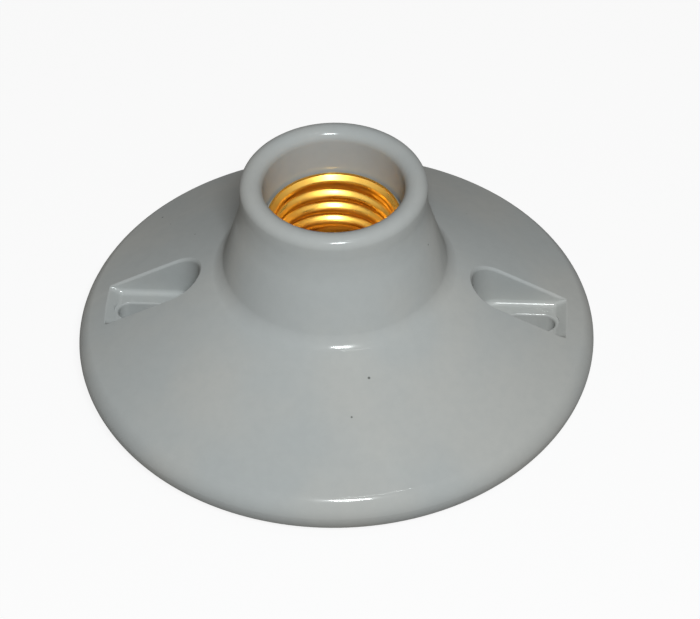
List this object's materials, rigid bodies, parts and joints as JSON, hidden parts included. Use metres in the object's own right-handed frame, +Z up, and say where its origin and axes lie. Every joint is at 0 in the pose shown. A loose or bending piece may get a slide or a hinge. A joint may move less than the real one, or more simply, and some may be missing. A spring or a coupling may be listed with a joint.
{
  "type": "screw lamp holder",
  "caption": "Round glazed porcelain surface lamp holder with a gold-coloured brass screw shell, spring centre contact, slotted fixing recesses and screw terminals.",
  "frame": {"origin": "centre of the foot's plane, on the lamp's axis", "axes": "+Z up along the lamp's axis towards the mouth, X through the two fixing slots, Y through the two wire terminals"},
  "size_m": [0.1108, 0.1108, 0.051],
  "materials": {
    "porcelain": "glossy glaze",
    "shell_brass": "bright gold-coloured, rolled",
    "contact_bronze": "bright spring sheet",
    "terminal_brass": "satin",
    "plated_steel": "zinc plated"
  },
  "bodies": {
    "root": {"porcelain_body": "porcelain", "screw_shell": "shell_brass", "shell_screw_right": "plated_steel", "shell_screw_left": "plated_steel", "contact_screw": "plated_steel", "shell_terminal": "terminal_brass", "contact_terminal": "terminal_brass"},
    "contact_leaf": {"centre_contact": "contact_bronze"},
    "shell_clamp": {"shell_clamp_washer": "plated_steel"},
    "shell_binding_screw": {"shell_wire_screw": "terminal_brass"},
    "contact_clamp": {"contact_clamp_washer": "plated_steel"},
    "contact_binding_screw": {"contact_wire_screw": "terminal_brass"}
  },
  "joints": [
    {"name": "contact_press", "type": "hinge", "parent": "root", "child": "contact_leaf", "pos_m": [0, -0.0034, 0.01775], "axis": [-1, 0, 0], "range_deg": [0, 16], "stiffness_Nm_per_rad": 0.08, "deforming": ["centre_contact"]},
    {"name": "shell_clamp_slide", "type": "slide", "parent": "root", "child": "shell_clamp", "axis": [0, 0, -1], "range_m": [0, 0.0021]},
    {"name": "shell_screw_turn", "type": "hinge", "parent": "shell_clamp", "child": "shell_binding_screw", "pos_m": [0, 0.0146, 0.0067], "axis": [0, 0, -1], "range_deg": [0, 1080]},
    {"name": "contact_clamp_slide", "type": "slide", "parent": "root", "child": "contact_clamp", "axis": [0, 0, -1], "range_m": [0, 0.0021]},
    {"name": "contact_screw_turn", "type": "hinge", "parent": "contact_clamp", "child": "contact_binding_screw", "pos_m": [0, -0.0146, 0.0067], "axis": [0, 0, -1], "range_deg": [0, 1080]}
  ],
  "couplings": [
    {"joint": "shell_screw_turn", "follows": "shell_clamp_slide", "rad_per_m": 8976},
    {"joint": "contact_screw_turn", "follows": "contact_clamp_slide", "rad_per_m": 8976}
  ]
}
